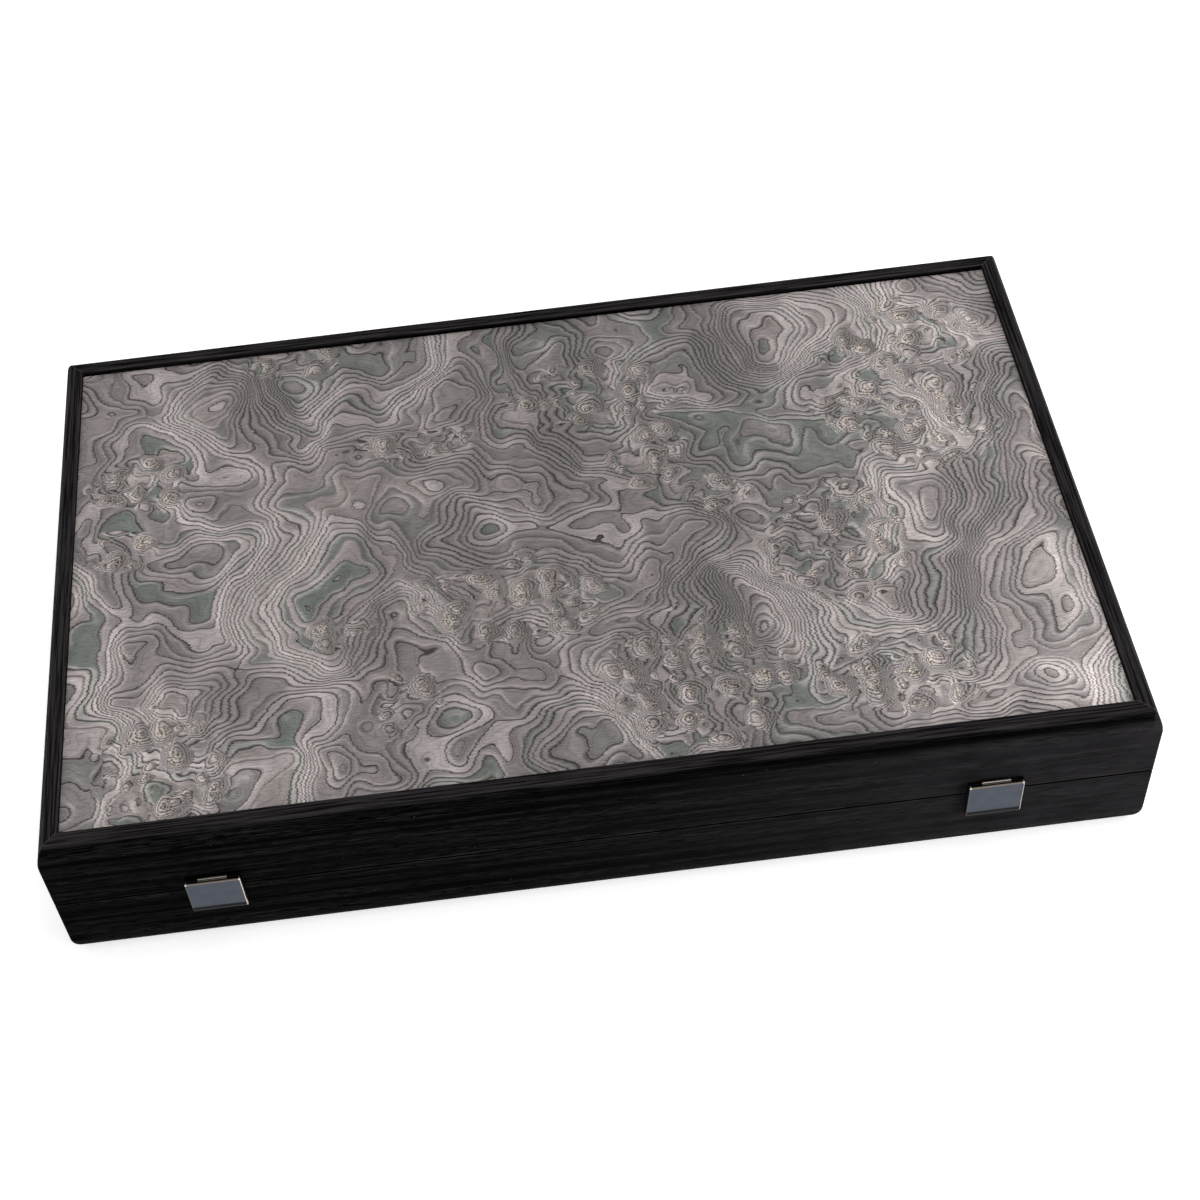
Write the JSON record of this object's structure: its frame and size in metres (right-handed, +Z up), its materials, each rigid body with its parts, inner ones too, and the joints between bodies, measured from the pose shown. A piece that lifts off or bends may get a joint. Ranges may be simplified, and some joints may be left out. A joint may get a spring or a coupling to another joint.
{
  "type": "backgammon case",
  "caption": "Folding wooden backgammon case, closed: black mitred frame, grey burl veneer panels, metal flap clasps in front, racks with checkers and dice inside.",
  "frame": {"origin": "middle of the closed case's underside, on the surface it stands on", "axes": "+X along the case to the right clasp, +Y from the clasps towards the hinges, +Z up through the lid"},
  "size_m": [0.48, 0.3064, 0.08],
  "materials": {
    "frame_black_wood": "open-pored oak stained black, satin",
    "burl_veneer_grey": "grey-dyed burl veneer, satin lacquer",
    "panel_plywood": "raw birch plywood",
    "field_veneer_dark": "straight-grained black veneer, satin lacquer",
    "point_veneer_dark": "dark grey burl veneer, satin lacquer",
    "point_veneer_light": "pale grey veneer, satin lacquer",
    "checker_dark": "turned wood, black lacquer",
    "checker_light": "turned wood, pale grey lacquer",
    "dice_ivory": "polished",
    "hinge_steel": "black nickel plated steel, satin",
    "clasp_gunmetal": "gunmetal plated steel, satin front with bright edges"
  },
  "bodies": {
    "base": {"base_front_rail": "frame_black_wood", "base_back_rail": "frame_black_wood", "base_left_rail": "frame_black_wood", "base_right_rail": "frame_black_wood", "base_burl_veneer": "burl_veneer_grey", "base_panel_core": "panel_plywood", "base_field_veneer": "field_veneer_dark", "base_points_dark": "point_veneer_dark", "base_points_light": "point_veneer_light", "base_rack_partition": "frame_black_wood", "base_rack_dividers": "frame_black_wood", "checkers_dark": "checker_dark", "checkers_light": "checker_light", "dice": "dice_ivory", "hinge_base_screws": "hinge_steel", "clasp_catch_screws": "clasp_gunmetal", "hinge_left_base_leaf": "hinge_steel", "hinge_right_base_leaf": "hinge_steel", "hinge_left_pin": "hinge_steel", "hinge_right_pin": "hinge_steel", "clasp_left_catch": "clasp_gunmetal", "clasp_right_catch": "clasp_gunmetal"},
    "lid": {"lid_front_rail": "frame_black_wood", "lid_back_rail": "frame_black_wood", "lid_left_rail": "frame_black_wood", "lid_right_rail": "frame_black_wood", "lid_burl_veneer": "burl_veneer_grey", "lid_panel_core": "panel_plywood", "lid_field_veneer": "field_veneer_dark", "lid_points_dark": "point_veneer_dark", "lid_points_light": "point_veneer_light", "lid_rack_partition": "frame_black_wood", "lid_rack_dividers": "frame_black_wood", "hinge_lid_screws": "hinge_steel", "clasp_mount_screws": "clasp_gunmetal", "hinge_left_lid_leaf": "hinge_steel", "hinge_right_lid_leaf": "hinge_steel", "clasp_left_mount": "clasp_gunmetal", "clasp_right_mount": "clasp_gunmetal"},
    "clasp_left": {"clasp_left_flap": "clasp_gunmetal", "clasp_left_pin": "clasp_gunmetal"},
    "clasp_right": {"clasp_right_flap": "clasp_gunmetal", "clasp_right_pin": "clasp_gunmetal"}
  },
  "joints": [
    {"name": "board_fold", "type": "hinge", "parent": "base", "child": "lid", "pos_m": [0, 0.15025, 0.04], "axis": [-1, 0, 0], "range_deg": [0, 180]},
    {"name": "clasp_left_swing", "type": "hinge", "parent": "lid", "child": "clasp_left", "pos_m": [-0.17, -0.1516, 0.0481], "axis": [-1, 0, 0], "range_deg": [0, 100]},
    {"name": "clasp_right_swing", "type": "hinge", "parent": "lid", "child": "clasp_right", "pos_m": [0.17, -0.1516, 0.0481], "axis": [-1, 0, 0], "range_deg": [0, 100]}
  ]
}
